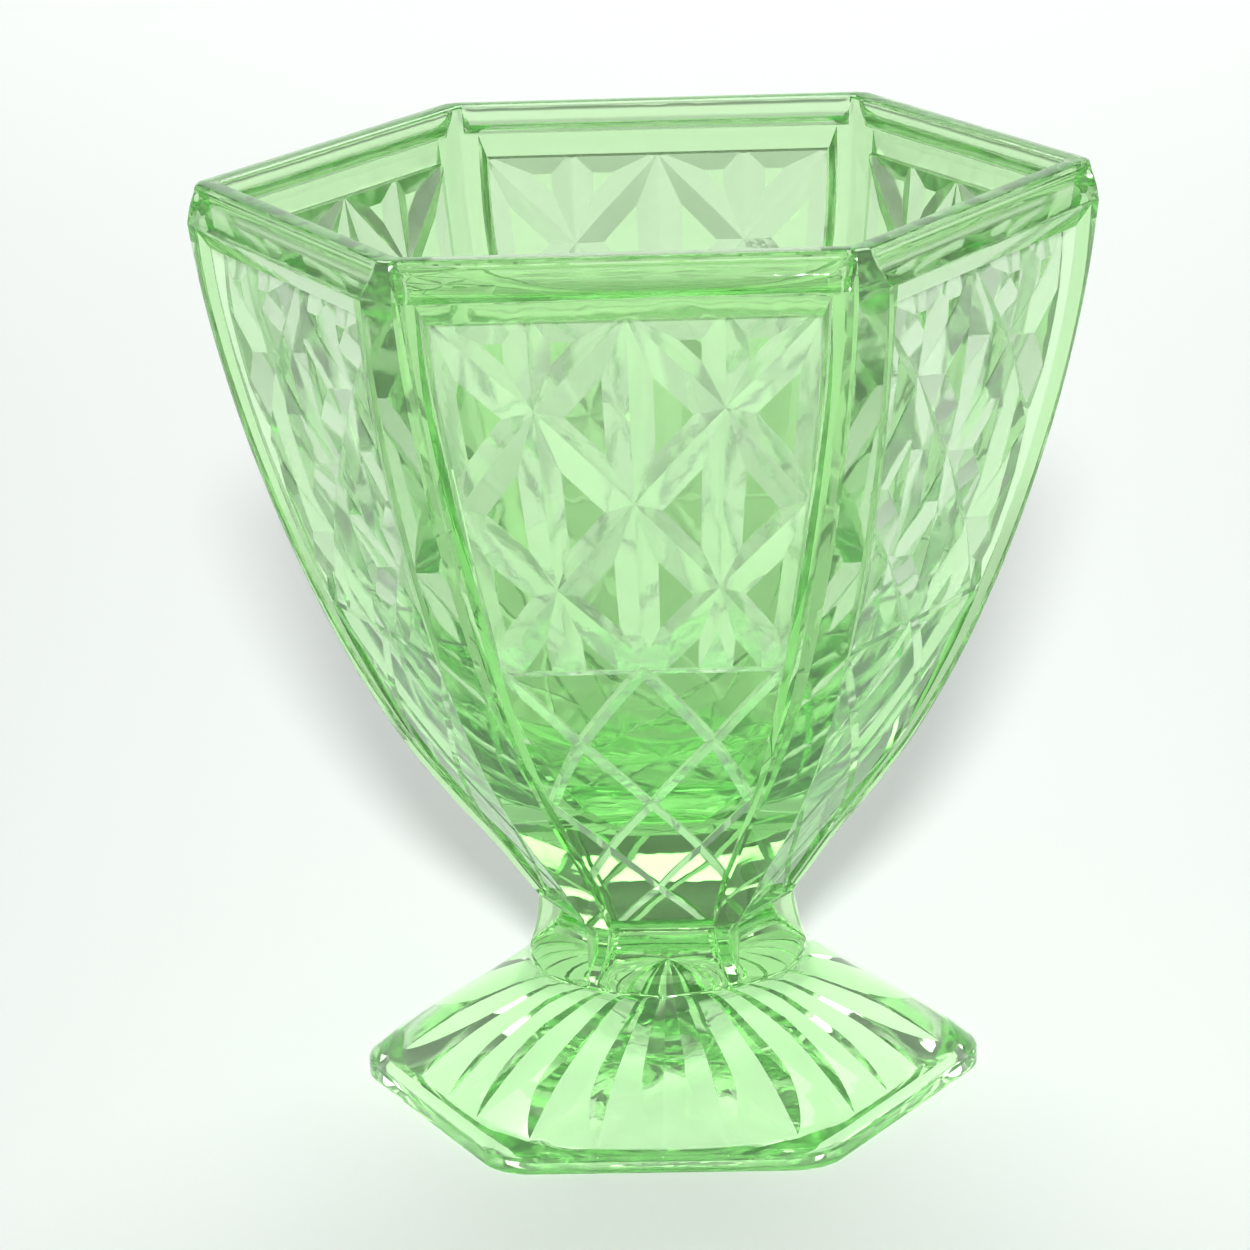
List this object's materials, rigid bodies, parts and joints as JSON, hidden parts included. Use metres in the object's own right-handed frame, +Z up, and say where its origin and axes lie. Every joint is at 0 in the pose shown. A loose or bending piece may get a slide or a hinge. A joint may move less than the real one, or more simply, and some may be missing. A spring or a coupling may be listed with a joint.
{
  "type": "footed hexagonal glass vase",
  "caption": "Tall footed six-sided pressed glass vase with mitre-cut panels, plain rim band, waisted collar and wide hexagonal foot.",
  "frame": {"origin": "centre of the resting plane under the foot", "axes": "+Z up through the mouth; -Y is the front face, corners of the hexagon on +X and -X"},
  "size_m": [0.1324, 0.1178, 0.14],
  "materials": {
    "green_glass": "gloss"
  },
  "bodies": {
    "root": {"rim_band": "green_glass", "panel_wall": "green_glass", "lower_bowl": "green_glass", "neck_collar": "green_glass", "foot": "green_glass"}
  },
  "joints": []
}
